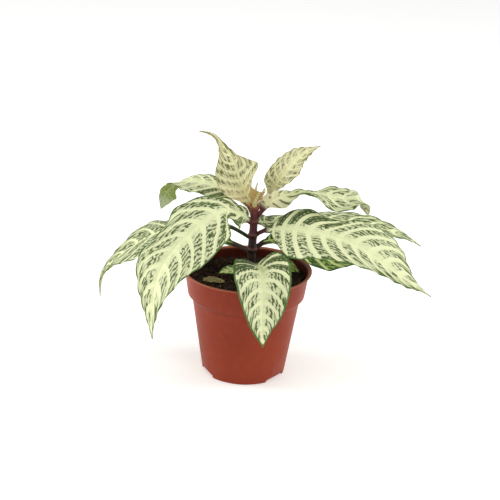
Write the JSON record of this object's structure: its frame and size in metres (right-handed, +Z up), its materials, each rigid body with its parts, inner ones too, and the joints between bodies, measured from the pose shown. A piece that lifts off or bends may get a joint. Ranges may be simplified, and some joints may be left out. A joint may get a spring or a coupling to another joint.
{
  "type": "potted zebra plant",
  "caption": "Young zebra plant with cream, dark-speckled leaves in opposite pairs on a purple stem, rooted in peat in a thin terracotta-coloured plastic nursery pot.",
  "frame": {"origin": "centre of the pot's underside, on the surface it stands on", "axes": "+Z up along the pot's axis, +X along the plant's widest direction, -Y towards the front leaf"},
  "size_m": [0.3079, 0.1667, 0.2205],
  "materials": {
    "pot_plastic": "smooth matte thin plastic, slightly sheeny",
    "peat": "crumbly moist peat",
    "stem_skin": "smooth purple-brown skin",
    "leaf_cream": "satin, cream with dark green speckles between the veins",
    "leaf_young": "satin, young tan and cream with brownish bands",
    "leaf_green": "satin, greener with cream veins",
    "chip": "dry fibrous bark"
  },
  "bodies": {
    "root": {"pot": "pot_plastic", "soil": "peat", "stem": "stem_skin", "leaf_front": "leaf_cream", "leaf_right_front": "leaf_cream", "leaf_left_front": "leaf_cream", "leaf_left_back": "leaf_cream", "leaf_right_back": "leaf_cream", "leaf_lower_right": "leaf_green", "leaf_lower_left": "leaf_green", "leaf_upper_left": "leaf_cream", "leaf_upper_right": "leaf_cream", "leaf_crown_left": "leaf_young", "leaf_crown_right": "leaf_young", "leaf_centre_rolled": "leaf_young", "leaf_centre_bud": "leaf_young", "leaf_small_left": "leaf_green", "leaf_small_right": "leaf_green", "dry_chip": "chip"}
  },
  "joints": []
}
